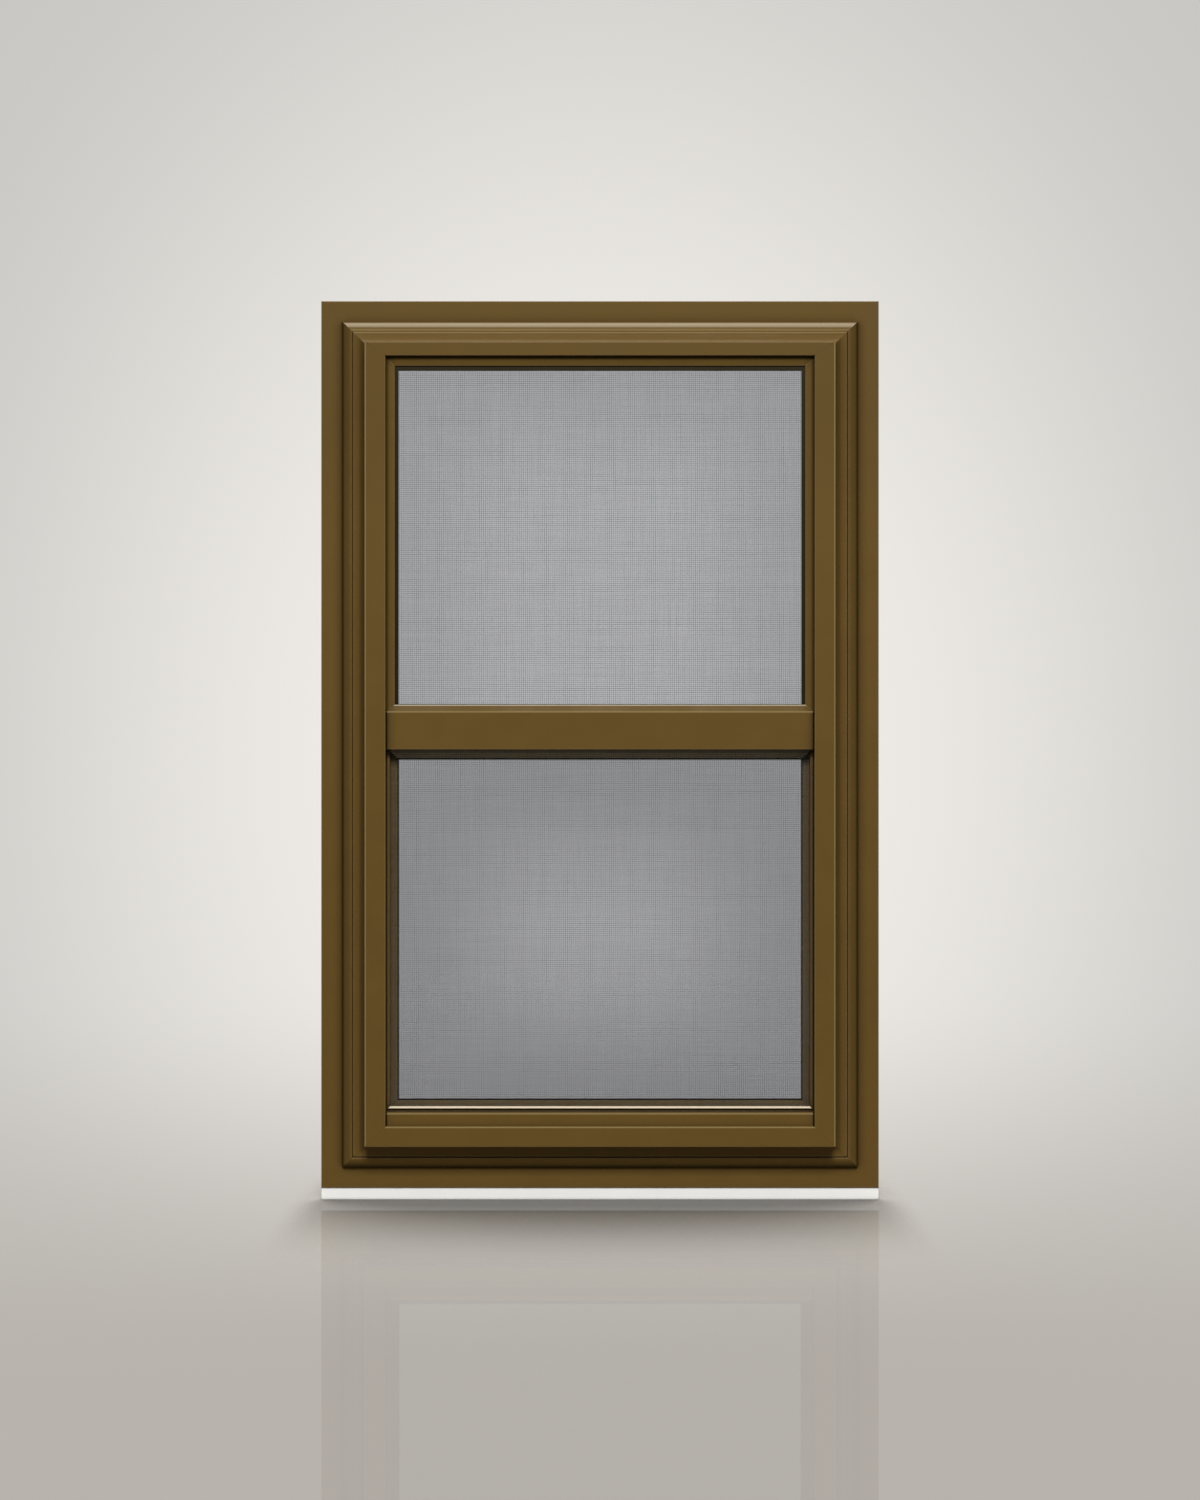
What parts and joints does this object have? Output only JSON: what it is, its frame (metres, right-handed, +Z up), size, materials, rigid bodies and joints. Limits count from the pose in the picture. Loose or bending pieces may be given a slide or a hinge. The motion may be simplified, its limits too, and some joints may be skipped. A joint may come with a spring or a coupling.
{
  "type": "storm window",
  "caption": "Bronze aluminium storm window for a house wall: mitred overlap frame, upper and lower glazed sashes, full insect screen between them and a white sill expander.",
  "frame": {"origin": "on the back of the head flange, in the middle of its length and of the flange's width", "axes": "+X to the right seen from outdoors, +Y into the building, +Z up"},
  "size_m": [0.6096, 0.0443, 0.9826],
  "materials": {
    "bronze_finish": "satin olive-bronze baked paint on extruded aluminium",
    "white_expander": "satin white baked paint on extruded aluminium",
    "clear_glass": "clear float glass",
    "glazing_gasket": "black-brown vinyl glazing channel",
    "screen_spline": "ribbed black vinyl cord",
    "insect_mesh": "charcoal coated glass-fibre insect mesh",
    "latch_plastic": "dark moulded plastic"
  },
  "bodies": {
    "root": {"head_rail": "bronze_finish", "left_jamb": "bronze_finish", "right_jamb": "bronze_finish", "sill_rail": "bronze_finish", "sill_stop_bar": "bronze_finish", "upper_sash_top_rail": "bronze_finish", "upper_sash_left_stile": "bronze_finish", "upper_sash_right_stile": "bronze_finish", "meeting_rail": "bronze_finish", "lower_sash_top_rail": "bronze_finish", "lower_sash_left_stile": "bronze_finish", "lower_sash_right_stile": "bronze_finish", "lower_sash_lift_rail": "bronze_finish", "screen_top_rail": "bronze_finish", "screen_left_rail": "bronze_finish", "screen_right_rail": "bronze_finish", "screen_bottom_rail": "bronze_finish", "sill_expander": "white_expander", "upper_glass": "clear_glass", "lower_glass": "clear_glass", "upper_glazing_gasket": "glazing_gasket", "lower_glazing_gasket": "glazing_gasket", "screen_spline": "screen_spline", "screen_mesh": "insect_mesh", "left_latch": "latch_plastic", "right_latch": "latch_plastic"}
  },
  "joints": []
}
